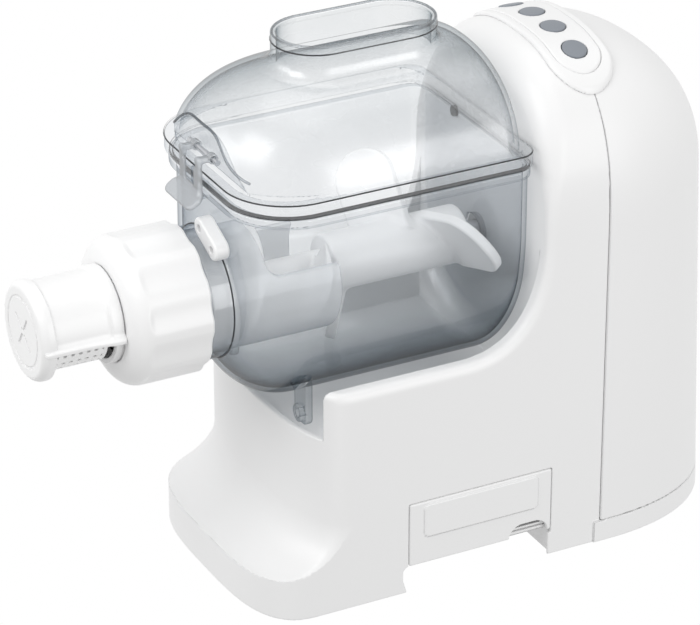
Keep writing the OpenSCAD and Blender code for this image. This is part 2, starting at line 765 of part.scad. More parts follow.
// Top view of the dome: a blunt nose at the front and round corners at the back.
module nose_plan(inset) {
    nose = super_q(lid_w - inset, lid_nose - inset, nose_n, 16);
    tail = super_q(bowl_back_r - inset, bowl_back_r - inset, 2, 5);
    half = concat(
        [for (p = tail) [lid_w - bowl_back_r + p[1], bowl_back - bowl_back_r + p[0]]],
        [for (p = nose) [p[0], lid_y1 + lid_nose - p[1]]]);
    m = len(half);
    polygon(concat(half, [for (i = [1:m - 1]) [-half[m - 1 - i][0], half[m - 1 - i][1]]]));
}

skirt_z = lid_z + skirt_h;
lid_w = bowl_r + rim_lip - 1;
lid_y1 = bowl_y - 10;
skirt_w = bowl_r + rim_lip + 2.5;
skirt_y = bowl_y - rim_lip - 1.2;

module bowl_lid() place() color([0.72, 0.76, 0.79, 0.5]) difference() {
    union() {
        difference() {
            union() {
                lid_form(0, lid_z);
                translate([0, 0, lid_z]) linear_extrude(skirt_h) round_plan(skirt_w, skirt_y, bowl_back,
                    bowl_front_r, bowl_back_r);
                translate([0, chute_y, lid_h - 12]) linear_extrude(chute_h - lid_h + 12)
                    rotate(90) stadium(chute_l, chute_w);
            }
            lid_form(clear_wall, lid_z - 1);
        }
        intersection() {
            lid_form(0, lid_z);
            box(-pocket_w / 2 - 3, pocket_w / 2 + 3, lid_y1 - 1, pocket_back + clear_wall, lid_z, pocket_top + 3);
        }
    }
    translate([0, chute_y, lid_h - 20]) linear_extrude(far)
        rotate(90) stadium(chute_l - 2 * chute_wall, chute_w - 2 * chute_wall);
    box(-pocket_w / 2, pocket_w / 2, lid_y1 - 5, pocket_back, lid_z - 1, pocket_top);
    translate([-far / 2, latch_y, latch_z]) rotate([0, 90, 0]) cylinder(r = latch_pin_r + run_gap, h = far);
}

module lid_latch() place() color([0.75, 0.79, 0.81, 0.6]) difference() {
    union() {
        translate([-latch_w / 2, latch_y, latch_z]) rotate([0, 90, 0]) cylinder(r = latch_hub_r, h = latch_w);
        box(-latch_w / 2, latch_w / 2, latch_plate_y, latch_y, latch_z - 1.5, latch_z + 1.5);
        box(-latch_w / 2, latch_w / 2, latch_plate_y, latch_plate_y + latch_plate_t, latch_low_z, latch_z + 1.5);
        translate([-latch_w / 2 - 4, latch_plate_y, latch_low_z + 1]) rotate([-latch_flare, 0, 0])
            translate([0, 0, -9.8]) cube([latch_w + 8, latch_plate_t, 10.8]);
    }
    translate([-far / 2, latch_y, latch_z]) rotate([0, 90, 0]) cylinder(r = latch_pin_r + run_gap, h = far);
    box(-6, 6, latch_plate_y - 1, latch_plate_y + latch_plate_t + 1, latch_low_z + 3, latch_z - 5);
    box(-latch_w / 2 + 5, latch_w / 2 - 5, latch_plate_y - 1, latch_y + 5, latch_z - 3.5, latch_z + 5);
}

module latch_pin() place() color("silver") translate([-pocket_w / 2 - 2.5, latch_y, latch_z])
    rotate([0, 90, 0]) cylinder(r = latch_pin_r, h = pocket_w + 5);

// ---- Nozzle ----

module extruder_tube() place() color("whitesmoke") difference() {
    union() {
        rod(tube_r, tube_y, tube_end);
        mirrored() box(neck_r - 5, neck_r - 1.4, ring_back - 6, neck_y - slide_gap, axis_z - 9, axis_z + 9);
    }
    rod(tube_r - tube_wall, tube_y - 1, tube_end + 1);
    box(-tube_r, tube_r, bowl_y + 22, tube_end + 1, axis_z + 14, axis_z + tube_r + 1);
}

tab_angle = -22.8;
tab_out = neck_r;
tab_w = 11;
tab_l = 28;
tab_t = 8.2;

module release_tab() place() color("white") difference() {
    translate([0, bowl_y - fix_gap, axis_z]) rotate([0, -tab_angle, 0])
        translate([0, 0, tab_out + tab_w / 2]) rotate([90, 0, 0]) linear_extrude(tab_t) difference() {
            stadium(tab_l, tab_w);
            for (s = [-1, 1]) translate([s * 8, 0]) circle(2.1);
        }
    rod(neck_r + fix_gap, neck_y - 1, bowl_y + 1);
}

module locking_ring() place() color("white") difference() {
    union() {
        rod(ring_r - 5, ring_y, ring_back);
        rod(ring_r, ring_y + 5, ring_back);
        translate([0, ring_y + 5, axis_z]) rotate([-90, 0, 0]) rotate_extrude($fn = 64)
            translate([ring_r - 5, 0]) circle(5, $fn = 32);
    }
    rod(ring_bore_r, ring_y - 1, ring_y + lip_t + 1);
    rod(tube_r + slide_gap, ring_y + lip_t, ring_back - 7);
    rod(neck_r + slide_gap, ring_back - 7, ring_back + 1);
    for (i = [0:11]) translate([0, ring_y + 6, axis_z]) rotate([0, 30 * i, 0])
        translate([ring_r + 6.2, 0, 0]) rotate([-90, 0, 0]) cylinder(r = 7, h = far);
}

module shaping_die() place() color("white") difference() {
    rod(die_r, die_y, die_y + die_t);
    rod(spindle_r + run_gap, die_y - 1, die_y + die_t + 1);
    for (k = [0:9]) rod(2, die_y - 1, die_y + die_t + 1, 16 * cos(36 * k), axis_z + 16 * sin(36 * k));
}

module auger() place() color("whitesmoke") union() {
    rod(auger_core_r, die_y + die_t + 1, hub_y + 1.3);
    rod(spindle_r, ring_y + 1, die_y + die_t + 2);
    translate([0, die_y + die_t + 2, axis_z]) rotate([-90, 0, 0])
        linear_extrude(tube_end - die_y - die_t - 4, twist = -900, slices = 75, $fn = 4)
        translate([auger_core_r - 1, -1.6]) square([auger_r - auger_core_r, 3.2]);
}

// A kneading arm: a flat blade from the hub, with a round end.
module arm(y, angle, w, pitch) translate([0, y, axis_z]) rotate([0, angle, 0]) rotate([0, 0, pitch]) {
    box(-w / 2, w / 2, -3, 3, hub_r - 6, paddle_reach - w / 2);
    translate([0, -3, paddle_reach - w / 2]) rotate([-90, 0, 0]) cylinder(r = w / 2 - 0.8, h = 6);
}

module kneading_paddle() place() color("whitesmoke") difference() {
    union() {
        rod(hub_r, hub_y + 1, hub_end);
        arm(hub_y + 18, 200, 26, 35);
        arm(hub_y + 42, 320, 36, 35);
        arm(hub_y + 73, 72, 40, 35);
    }
    rod(socket_r, coupler_y - 2, hub_end + 1);
    rod(auger_core_r + run_gap, hub_y, hub_y + 1.5);
}

module cutter_blade() place() color("silver") difference() {
    union() {
        rod(6, ring_y + 2, ring_y + 6.6);
        for (s = [0, 180]) translate([0, ring_y + 6, axis_z]) rotate([0, s, 0]) box(0, 19, -0.6, 0.6, -4, 4);
    }
    rod(spindle_r + run_gap, ring_y + 1, ring_y + 8);
}

cap_t = 8;
cap_back = ring_y + 4;
cap_turn = 5.5;
hood_r = cap_r - 1.4;
sleeve_r = hood_r - 3;

module turned(a) translate([0, 0, axis_z]) rotate([0, a, 0]) translate([0, 0, -axis_z]) children();

// Cap over the cutter: a bevelled disc at the front and a half round hood above the axis.
module cutter_cap() place() color("white") turned(cap_turn) difference() {
    union() {
        translate([0, 0, axis_z]) rotate([-90, 0, 0]) cylinder(r1 = cap_r - 4, r2 = cap_r, h = cap_t - 4);
        rod(cap_r, cap_t - 4, cap_t);
        intersection() {
            ring(hood_r, hood_r - 2.4, cap_t - 2, cap_back - 8);
            box(-far, far, 0, far, axis_z - 1, far);
        }
        ring(ring_bore_r - slide_gap, ring_bore_r - 3, ring_y - 4, cap_back);
        ring(cap_r, ring_bore_r - 3, ring_y - 7, ring_y - 0.4);
        mirrored() box(hood_r - 2, cap_r + 3, 1.2, ring_y - 0.4, axis_z - 1, axis_z + 1.6);
    }
    for (a = [45, 135]) translate([0, -1, axis_z]) rotate([0, a, 0]) box(-14, 14, 0, 1.8, -1, 1);
}

// Perforated sleeve inside the cap, open to the pasta below.
module cutter_sleeve() place() color("whitesmoke") turned(cap_turn) difference() {
    ring(sleeve_r, sleeve_r - 2, cap_t + fix_gap, ring_y - 7.6);
    for (i = [0:5]) translate([0, cap_t + 4 + i * 4.4, axis_z]) for (a = [60, 75, 90, 105, 120])
        rotate([0, a, 0]) cylinder(r = 1, h = far);
}

front_housing();
rear_cover();
base_plate();
rubber_feet();
base_screws();
control_bezel();
control_strip();
button_1();
button_2();
button_3();
button_4();
control_board();
gear_frame();
frame_screws();
front_bearing();
rear_bearing();
shaft_seal();
drive_shaft();
output_gear();
idler_gear();
idler_axle();
motor_can();
motor_rotor();
motor_pinion();
cooling_fan();
power_board();
cord_gland();
interlock_pin();
storage_drawer();
spare_dies();
mixing_bowl();
bowl_gasket();
bowl_lid();
lid_latch();
latch_pin();
extruder_tube();
release_tab();
locking_ring();
shaping_die();
auger();
kneading_paddle();
cutter_blade();
cutter_cap();
cutter_sleeve();
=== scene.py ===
"""Looks of the electric pasta maker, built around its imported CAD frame.
Shapes are distance fields in the drawing's millimetres (y from the nozzle tip), meshed here."""
import json
import math
import bmesh
import bpy
import numpy as np
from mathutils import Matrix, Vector

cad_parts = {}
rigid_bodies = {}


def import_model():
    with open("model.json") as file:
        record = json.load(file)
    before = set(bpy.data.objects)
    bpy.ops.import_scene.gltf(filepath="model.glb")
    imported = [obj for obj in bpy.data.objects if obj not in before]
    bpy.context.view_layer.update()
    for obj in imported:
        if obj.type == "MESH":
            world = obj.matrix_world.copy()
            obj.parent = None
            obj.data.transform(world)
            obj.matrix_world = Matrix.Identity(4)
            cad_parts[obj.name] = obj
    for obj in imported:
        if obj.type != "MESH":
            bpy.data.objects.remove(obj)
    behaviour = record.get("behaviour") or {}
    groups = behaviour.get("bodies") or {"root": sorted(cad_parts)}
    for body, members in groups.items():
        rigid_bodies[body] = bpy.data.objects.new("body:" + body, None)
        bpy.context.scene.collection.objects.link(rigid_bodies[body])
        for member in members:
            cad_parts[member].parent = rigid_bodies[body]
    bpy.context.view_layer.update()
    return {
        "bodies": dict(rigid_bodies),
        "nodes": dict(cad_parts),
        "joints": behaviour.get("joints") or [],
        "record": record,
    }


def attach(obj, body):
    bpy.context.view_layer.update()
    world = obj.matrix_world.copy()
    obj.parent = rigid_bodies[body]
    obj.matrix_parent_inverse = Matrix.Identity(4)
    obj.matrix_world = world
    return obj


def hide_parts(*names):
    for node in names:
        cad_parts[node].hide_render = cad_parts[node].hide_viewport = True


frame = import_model()
NODES = frame["nodes"]
Y_MID = 199.5
HALF_W, TOP, ARCH_Z, ARCH_N = 76.0, 282.0, 190.0, 2.5
SEAM_Y, AXIS_Z, BASE_Z, TRAY_Z = 305.0, 168.8, 0.8, 14.0
WALL, UNDER_Y, FACE_Y = 3, 183, 268
BUTTON_XS, BUTTON_HOLE, BUTTON_CUT = (-33, -11, 11, 33), 7.1, 20
CORD_Z, INTERLOCK_X, INTERLOCK_Z = 34, -28, 227
BOWL_R, BOWL_Y, BOWL_BACK, RIM_Z, CLEAR_WALL = 62.0, 105.0, 266.0, 231.0, 2.5
RIM_RF, RIM_RB = 36, 11
LUG_X, LUG_Z, NECK_R, NECK_LINE_R, NECK_LINE_Y = 44, 109, 35.9, 36.1, 103.4
LID_Z, DOME_W, DOME_Z, DOME_TOP, DOME_N = 241.1, 66.0, 235.0, 288.3, 2.15
SKIRT_W, SKIRT_Y = 68.0, 100.3
CHUTE_Y, CHUTE_HALF, CHUTE_R, CHUTE_TOP = 191.8, 22.5, 23.5, 304.0
LATCH_Y, LATCH_Z, LATCH_PLATE_Y = 104.5, 249, 95.6
TAB_TURN, TAB_R, CAP_TURN = 22.8, 41.4, 5.5
HUB_R, ARM_PITCH, ARM_TOP, SCREW_PITCH = 16, 35, 56, 40.0
FOCAL_PX, PICTURE_PX, SENSOR = 3816.4, 700, 36
CAMERA_AT, AZIMUTH, ELEVATION = (1.6213, -0.8540, 1.0708), 62.5, 27.1
AMBIENT, WHITE, GRAIN_SCALE = 0.56, (1, 1, 1, 1), 900.0

# ---------------------------------------------------------------- distance fields


def rmax(a, b, r):
    """Intersection with a round edge of radius r."""
    return np.minimum(np.maximum(a, b), -r) + np.hypot(np.maximum(a + r, 0), np.maximum(b + r, 0))


def rmin(a, b, r):
    """Union with a hollow fillet of radius r."""
    return -rmax(-a, -b, r)


def cut(a, b, r=0.0):
    """a without b, with a round edge of radius r."""
    return rmax(a, -b, r) if np.ndim(r) or r > 0 else np.maximum(a, -b)


def both(*ds):
    """Where all the fields are inside."""
    out = ds[0]
    for d in ds[1:]:
        out = np.maximum(out, d)
    return out


def either(*ds):
    """Where any of the fields is inside."""
    out = ds[0]
    for d in ds[1:]:
        out = np.minimum(out, d)
    return out


def span(v, lo, hi):
    """The slab from lo to hi."""
    return np.abs(v - (lo + hi) / 2) - (hi - lo) / 2


def super2(u, v, a, b, n):
    """Roughly the distance to a superellipse, for u and v that are not negative."""
    u, v = np.abs(u) / a, np.abs(v) / b
    s = (u ** n + v ** n + 1e-12) ** (1 / n)
    k = s ** (1 - n)
    grad = np.hypot(k * u ** (n - 1) / a, k * v ** (n - 1) / b)
    return (s - 1) / np.maximum(grad, 1e-6)


def box2(u, v, hu, hv, r):
    """Rectangle of half sizes hu, hv with round corners."""
    qu, qv = np.abs(u) - hu + r, np.abs(v) - hv + r
    return np.minimum(np.maximum(qu, qv), 0) + np.hypot(np.maximum(qu, 0), np.maximum(qv, 0)) - r


def box3(x, y, z, b, r):
    """Box b = (x1, x2, y1, y2, z1, z2) with round edges."""
    q = [span(v, b[2 * i], b[2 * i + 1]) + r for i, v in enumerate((x, y, z))]
    out = np.sqrt(sum(np.maximum(c, 0) ** 2 for c in q))
    return out + np.minimum(np.maximum(np.maximum(q[0], q[1]), q[2]), 0) - r


def plan2(x, y, w, y1, y2, rf, rb):
    """Rectangle in plan with round corners: rf at the front, rb at the back."""
    r = np.where(y < (y1 + y2) / 2, rf, rb)
    return box2(x, y - (y1 + y2) / 2, w, (y2 - y1) / 2, r)


def stadium(u, v, half, r):
    """Round-ended outline along u: half the straight length, and the ends' radius."""
    return np.hypot(np.maximum(np.abs(u) - half, 0), v) - r


def repeat(v, step):
    """v counted from the middle of each step."""
    return v % step - step / 2


def radial(x, z):
    """Distance from the paddle's axis."""
    return np.hypot(x, z - AXIS_Z)


def angle(x, z):
    return np.arctan2(z - AXIS_Z, x)


def turn(u, v, deg):
    """u and v in axes turned by deg."""
    c, s = math.cos(math.radians(deg)), math.sin(math.radians(deg))
    return u * c - v * s, u * s + v * c


def ramp(v, lo, hi):
    """0 below lo, 1 above hi, smooth between."""
    t = np.clip((v - lo) / (hi - lo), 0, 1)
    return t * t * (3 - 2 * t)


# ---------------------------------------------------------------- meshing


def grad(fn, p, e=0.05):
    """Gradient of the field at the points p."""
    g = np.empty_like(p)
    for i in range(3):
        a, b = p.copy(), p.copy()
        a[:, i] += e
        b[:, i] -= e
        g[:, i] = fn(*a.T) - fn(*b.T)
    return g / (2 * e)


def surface(fn, lo, hi, h):
    """Vertices, quads and normals of fn = 0 in the box lo to hi, on a grid of step h."""
    axes = [np.arange(lo[i] - 1.5 * h, hi[i] + 2.5 * h, h) for i in range(3)]
    nx, ny, nz = map(len, axes)
    field = np.empty((nx, ny, nz), np.float32)
    yy, zz = np.meshgrid(axes[1], axes[2], indexing="ij")
    step = 24
    for i in range(0, nx, step):
        xs = axes[0][i:i + step][:, None, None]
        field[i:i + step] = fn(xs + 0 * yy, yy + 0 * xs, zz + 0 * xs)
    neg = field < 0
    corners = [(a, b, c) for a in (0, 1) for b in (0, 1) for c in (0, 1)]
    count = np.zeros((nx - 1, ny - 1, nz - 1), np.int8)
    for a, b, c in corners:
        count += neg[a:nx - 1 + a, b:ny - 1 + b, c:nz - 1 + c]
    ci, cj, ck = np.nonzero((count > 0) & (count < 8))
    index = np.full(count.shape, -1, np.int32)
    index[ci, cj, ck] = np.arange(len(ci))
    total, hits = np.zeros((len(ci), 3)), np.zeros(len(ci))
    for p in corners:
        for ax in range(3):
            if p[ax]:
                continue
            q = list(p)
            q[ax] = 1
            fa = field[ci + p[0], cj + p[1], ck + p[2]].astype(float)
            fb = field[ci + q[0], cj + q[1], ck + q[2]].astype(float)
            m = (fa < 0) != (fb < 0)
            t = np.where(m, fa / np.where(m, fa - fb, 1), 0)
            for d in range(3):
                total[:, d] += m * (p[d] + (t if d == ax else 0))
            hits += m
    base = np.stack([axes[0][ci], axes[1][cj], axes[2][ck]], 1)
    start = base + h * total / hits[:, None]
    v = start.copy()
    for _ in range(3):
        g = grad(fn, v)
        f = fn(*v.T)
        v -= (f / np.maximum((g ** 2).sum(1), 0.2))[:, None] * g
        v = start + np.clip(v - start, -0.6 * h, 0.6 * h)
    n = grad(fn, v)
    n /= np.maximum(np.linalg.norm(n, axis=1), 1e-9)[:, None]
    quads = []
    for ax in range(3):
        o = [i for i in range(3) if i != ax]
        a = [slice(None)] * 3
        b = [slice(None)] * 3
        a[ax], b[ax] = slice(0, -1), slice(1, None)
        na, nb = neg[tuple(a)], neg[tuple(b)]
        e = np.array(np.nonzero(na != nb)).T
        inside = na[tuple(e.T)]
        ok = np.all([(e[:, k] > 0) & (e[:, k] < count.shape[k]) for k in o], axis=0)
        e, inside = e[ok], inside[ok]
        cell = []
        for du, dv in ((1, 1), (0, 1), (0, 0), (1, 0)):
            c = e.copy()
            c[:, o[0]] -= du
            c[:, o[1]] -= dv
            cell.append(index[tuple(c.T)])
        q = np.stack(cell, 1)
        flip = inside if ax == 1 else ~inside
        q[flip] = q[flip][:, ::-1]
        quads.append(q)
    return v, np.concatenate(quads), n


def add_object(name, data):
    ob = bpy.data.objects.new(name, data)
    bpy.context.scene.collection.objects.link(ob)
    return ob


def to_object(name, v, quads, n, mat):
    """Mesh object from vertices in millimetres, with the field's own normals."""
    p = v * 0.001
    p[:, 1] -= Y_MID * 0.001
    me = bpy.data.meshes.new(name)
    me.vertices.add(len(p))
    me.vertices.foreach_set("co", p.astype(np.float32).ravel())
    me.loops.add(quads.size)
    me.loops.foreach_set("vertex_index", quads.astype(np.int32).ravel())
    me.polygons.add(len(quads))
    me.polygons.foreach_set("loop_start", np.arange(0, quads.size, 4, dtype=np.int32))
    me.update(calc_edges=True)
    me.validate()
    me.shade_smooth()
    me.normals_split_custom_set_from_vertices(n.astype(np.float32).tolist())
    me.materials.append(mat)
    return add_object(name, me)


def make(name, fn, lo, hi, h, mat, body, *nodes):
    """Meshes a field, hangs it on a CAD body and lets it stand for the CAD nodes."""
    v, q, n = surface(fn, lo, hi, h * (1.0))
    ob = to_object(name, v, q, n, mat)
    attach(ob, body)
    if nodes:
        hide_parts(*nodes)
    print("made", name, len(v), len(q))


# ---------------------------------------------------------------- materials


def new_material(name):
    m = bpy.data.materials.new(name)
    m.use_nodes = True
    return m, m.node_tree


def node(nt, kind, *ins, **props):
    """New node with its properties set; each input gets a link or a value, None leaves it."""
    n = nt.nodes.new("ShaderNode" + kind)
    for k, v in props.items():
        setattr(n, k, v)
    for i, v in enumerate(ins):
        if isinstance(v, bpy.types.NodeSocket):
            nt.links.new(v, n.inputs[i])
        elif v is not None:
            n.inputs[i].default_value = v
    return n


def material(name, color, rough, bump=0.0, metallic=0.0):
    """Opaque plastic, rubber or metal with a fine uneven gloss."""
    m, nt = new_material(name)
    b = nt.nodes["Principled BSDF"]
    b.inputs["Base Color"].default_value = (*color, 1)
    b.inputs["Metallic"].default_value = metallic
    noise = node(nt, "TexNoise", node(nt, "TexCoord").outputs["Object"], None, GRAIN_SCALE, 3)
    gloss = node(nt, "MapRange", noise.outputs["Fac"], None, None, rough - 0.03, rough + 0.05)
    nt.links.new(gloss.outputs["Result"], b.inputs["Roughness"])
    if bump:
        grain = node(nt, "Bump")
        grain.inputs["Strength"].default_value = bump
        grain.inputs["Distance"].default_value = 0.0001
        nt.links.new(noise.outputs["Fac"], grain.inputs["Height"])
        nt.links.new(grain.outputs["Normal"], b.inputs["Normal"])
    return m


def clear_material(name, tint, haze=0.0, edge=0.16, painted_low_tint=None, zs=(0.118, 0.178),
                   shine=0.035, rough_to=0.11):
    """See-through plastic: each wall takes its tint once, more where it is seen edge on,
    and reflects a little. Below the heights zs the tint turns to the low tint, which is painted
    shade or painted light that changes with height, not the plastic's own colour."""
    m, nt = new_material(name)
    nt.nodes.clear()

    def calc(op, a, b=None):
        return node(nt, "Math", a, b, operation=op).outputs[0]

    geo = node(nt, "NewGeometry").outputs
    facing = calc("ABSOLUTE", node(nt, "VectorMath", geo["Normal"], geo["Incoming"],
                                   operation="DOT_PRODUCT").outputs["Value"])
    entry = calc("SUBTRACT", 1.0, geo["Backfacing"])
    slant = calc("POWER", calc("MAXIMUM", facing, edge), -1.45)
    depth = calc("MULTIPLY", entry, slant)
    rgb = node(nt, "CombineColor")
    for i, base in enumerate(tint):
        # below zs the tint blends into the low tint: painted shade or painted light by height
        if painted_low_tint:
            height = node(nt, "SeparateXYZ", node(nt, "TexCoord").outputs["Object"]).outputs[2]
            base = node(nt, "MapRange", height, zs[0], zs[1], painted_low_tint[i], base,
                        interpolation_type="SMOOTHSTEP").outputs[0]
        nt.links.new(calc("POWER", base, depth), rgb.inputs[i])
    body = node(nt, "BsdfTransparent", rgb.outputs[0])
    if haze:
        diffuse = node(nt, "BsdfDiffuse", (0.86, 0.87, 0.88, 1))
        body = node(nt, "MixShader", haze, body.outputs[0], diffuse.outputs[0])
    noise = node(nt, "TexNoise", None, None, 6.0)
    rough = node(nt, "MapRange", noise.outputs[0], 0.3, 0.7, rough_to * 0.6, rough_to)
    gloss = node(nt, "BsdfGlossy", WHITE, rough.outputs[0])
    rim = calc("POWER", calc("SUBTRACT", 1.0, facing), 4.0)
    share = calc("MULTIPLY", entry, calc("ADD", shine, calc("MULTIPLY", 0.5, rim)))
    mix = node(nt, "MixShader", share, body.outputs[0], gloss.outputs[0])
    shadow = node(nt, "MixShader", node(nt, "LightPath").outputs["Is Shadow Ray"], mix.outputs[0],
                  node(nt, "BsdfTransparent", (0.97, 0.97, 0.97, 1)).outputs[0])
    node(nt, "OutputMaterial", shadow.outputs[0])
    return m


def seal_and_edge_shade_material():
    """Painted edge shade: near black where the surface faces outward from the middle and clear
    elsewhere, so a thin rim shows as a dark line only from outside. It also stands for the dark
    seal between bowl and lid.
    """
    m, nt = new_material("seal_and_painted_edge_shade")
    nt.nodes.clear()
    away = node(nt, "VectorMath", node(nt, "TexCoord").outputs["Object"], (15, 12, 0),
                operation="MULTIPLY")
    out = node(nt, "VectorMath", away.outputs[0], node(nt, "NewGeometry").outputs["Normal"],
               operation="DOT_PRODUCT")
    share = node(nt, "MapRange", out.outputs["Value"], 0.1, 0.4, 0.03, 0.97)
    # near-black colour of the painted edge shade
    dark = node(nt, "BsdfPrincipled")
    dark.inputs["Base Color"].default_value = (0.015, 0.017, 0.02, 1)
    dark.inputs["Roughness"].default_value = 0.4
    clear = node(nt, "BsdfTransparent")
    mix = node(nt, "MixShader", share.outputs[0], clear.outputs[0], dark.outputs[0])
    node(nt, "OutputMaterial", mix.outputs[0])
    return m


CASING = material("casing", (0.86, 0.86, 0.86), 0.36, 0.05)
NOZZLE = material("nozzle_white", (0.88, 0.88, 0.88), 0.32)
PADDLE = material("paddle_white", (0.88, 0.885, 0.89), 0.38)
BUTTON = material("button_grey", (0.22, 0.24, 0.27), 0.42)
RUBBER = material("rubber", (0.10, 0.10, 0.11), 0.7, 0.3)
SEAL = material("seal", (0.045, 0.05, 0.055), 0.5)
STEEL = material("steel", (0.55, 0.56, 0.58), 0.28, metallic=1.0)
IRON = material("iron", (0.28, 0.26, 0.25), 0.5, metallic=0.8)
GEAR = material("gear_plastic", (0.72, 0.70, 0.62), 0.45)
BOARD = material("board", (0.03, 0.16, 0.07), 0.5)
DARK = material("dark_plastic", (0.05, 0.055, 0.06), 0.45)
# the bowl turns darker below: painted shade where the cradle's shadow lies behind the bowl's lower
# part
SMOKY = clear_material("smoky_clear", (0.89, 0.90, 0.91), painted_low_tint=(0.81, 0.828, 0.842), shine=0.05)
# the lid is lighter low on the skirt and darker up the dome: painted light below, painted shade
# above
LID = clear_material("light_smoky_clear", (0.86, 0.873, 0.88), edge=0.1,
                     painted_low_tint=(0.95, 0.955, 0.96), zs=(0.242, 0.286), shine=0.1, rough_to=0.34)
CLEAR = clear_material("clear", (0.66, 0.68, 0.70), haze=0.3, edge=0.1)
FROST = clear_material("frosted", (0.92, 0.93, 0.94), haze=0.45)
RIM_SHADE = clear_material("rim_shade", (0.62, 0.64, 0.66), edge=0.3)
SOFT_SHADE = clear_material("soft_shade", (0.62, 0.64, 0.66), edge=0.3)
PALE_RUBBER = material("pale_rubber", (0.5, 0.51, 0.52), 0.6)
SEAL_AND_EDGE_SHADE = seal_and_edge_shade_material()
MATERIAL_NODES = (
    (STEEL, ("base_screws", "gear_frame", "frame_screws", "front_bearing", "rear_bearing",
             "drive_shaft", "idler_axle", "motor_can", "motor_pinion", "latch_pin",
             "cutter_blade")),
    (BOARD, ("control_board", "power_board")), (GEAR, ("output_gear", "idler_gear")),
    (DARK, ("cooling_fan", "interlock_pin")), (RUBBER, ("rubber_feet", "cord_gland")),
    (IRON, ("motor_rotor",)), (SEAL, ("bowl_gasket",)), (PALE_RUBBER, ("shaft_seal",)),
    (NOZZLE, ("spare_dies",)))
NODE_MATS = {name: mat for mat, names in MATERIAL_NODES for name in names}
for name, ob in NODES.items():
    ob.data.materials.clear()
    ob.data.materials.append(NODE_MATS.get(name, CASING))

# ---------------------------------------------------------------- casings


def arch(x, z):
    """The tower's outline seen from the front."""
    return super2(x, np.maximum(z - ARCH_Z, 0), HALF_W, TOP - ARCH_Z, ARCH_N)


def side_profile(y, z):
    """Cradle wall, the curve up to the tower, and the tower's front face, seen from the side."""
    return -super2(np.maximum(y - 218, 0), np.maximum(195 - z, 0), 50, 65, 2.4)


def foot_plan(x, y):
    """Outline of the foot seen from above."""
    return super2(x, np.minimum(y - 142, 0), HALF_W, 42, 3.3)


def column_plan(x, y):
    """Outline of the column under the nozzle, seen from above."""
    return super2(x, np.minimum(y - 155.5, 0), HALF_W, 26, 2.6)


def housing_outer(x, y, z):
    """Tower, cradle, column and foot without the hollows."""
    col = np.maximum(rmin(column_plan(x, y), z - 24, 29), foot_plan(x, y))
    r = 6 + 12 * ramp(z, 200, 272)
    tower = rmax(arch(x, z), side_profile(y, z), r)
    return rmax(col, tower, 4)


def under(y, z):
    """The low arch between the front foot and the rear tray."""
    return rmax(both(span(y, UNDER_Y, 272.4), UNDER_Y + 2 - y - (z - 2) * 0.3), z - 16.6, 3)


def front_housing(x, y, z):
    outer = housing_outer(x, y, z)
    d = rmax(rmax(outer, BASE_Z - z, 1.2), y - SEAM_Y, 0.5)
    low = both(column_plan(x, y) + WALL, z - 95, y - 300)
    foot = both(foot_plan(x, y) + WALL, z - 21)
    high = both(outer + WALL, FACE_Y + WALL - y)
    d = cut(d, either(low, foot, high))
    well = both(np.abs(x) - 66, y - FACE_Y)
    pit = both(well, 98 - z, column_plan(x, y) + 3.5)
    d = cut(d, either(pit, both(well, 102 - z)), 0.8)
    d = cut(d, under(y, z), 0.8)
    door = box3(x, y, z, (71, 80, 186.1, 274.1, 14.6, 55.1), 1.2)
    d = cut(d, door, 0.4)
    d = cut(d, np.hypot(x - INTERLOCK_X, z - INTERLOCK_Z) - 3.3, 0.3)
    d = cut_buttons(d, x, y, z, BUTTON_HOLE)
    rear = rear_form(x, y, z)
    band = both(rmax(rear, BASE_Z - z, 1.2), SEAM_Y - 4 - y, z - TRAY_Z, -rear - WALL)
    return either(d, band)


def arch_height(x):
    """Height of the tower's outline at x."""
    return ARCH_Z + (TOP - ARCH_Z) * (1 - (abs(x) / HALF_W) ** ARCH_N) ** (1 / ARCH_N)


def button_frame(bx, x, z):
    """Distances from a button's axis and along it, square to the arch."""
    slope = math.atan((arch_height(bx - 0.01) - arch_height(bx + 0.01)) / 0.02)
    sn, cs, bz = math.sin(slope), math.cos(slope), arch_height(bx)
    return (x - bx) * cs - (z - bz) * sn, (x - bx) * sn + (z - bz) * cs


def cut_buttons(d, x, y, z, hole, r=0.0):
    """d without the button holes."""
    for bx in BUTTON_XS:
        u, t = button_frame(bx, x, z)
        d = cut(d, both(np.hypot(u, y - SEAM_Y) - hole, span(t, -BUTTON_CUT, BUTTON_CUT)), r)
    return d


def rear_form(x, y, z):
    """Round back: the arch from the front, a leaning curve from the side, a round plan between."""
    m, n, p, knee = 2.35, ARCH_N, 2.1, 202.0
    reach = 85.4 + 8.6 * np.clip(knee - z, 0, knee) / knee
    u = np.abs(x) / HALF_W + 1e-5
    w = np.maximum(y - SEAM_Y, 0) / reach + 1e-5
    va, vb = np.maximum(z - ARCH_Z, 0) / (TOP - ARCH_Z), np.maximum(z - knee, 0) / (TOP - knee)
    van, vbp = va ** n, vb ** p
    s = ((u ** n + van) ** (m / n) + (w ** p + vbp) ** (m / p) - vb ** m) ** (1 / m)
    for _ in range(3):
        a = np.maximum(s ** n - van, 1e-9) ** (1 / n)
        b = np.maximum(s ** p - vbp, 1e-9) ** (1 / p)
        ua, wb = (u / a) ** m, (w / b) ** m
        q = (ua + wb) ** (1 / m)
        sa, sb = ((a * q) ** n + van) ** (1 / n), ((b * q) ** p + vbp) ** (1 / p)
        s = (ua * sa + wb * sb) / (ua + wb)
    return (s - 1) * (66 + 12 * np.minimum(u, 1) + 20 * np.minimum(w, 1))


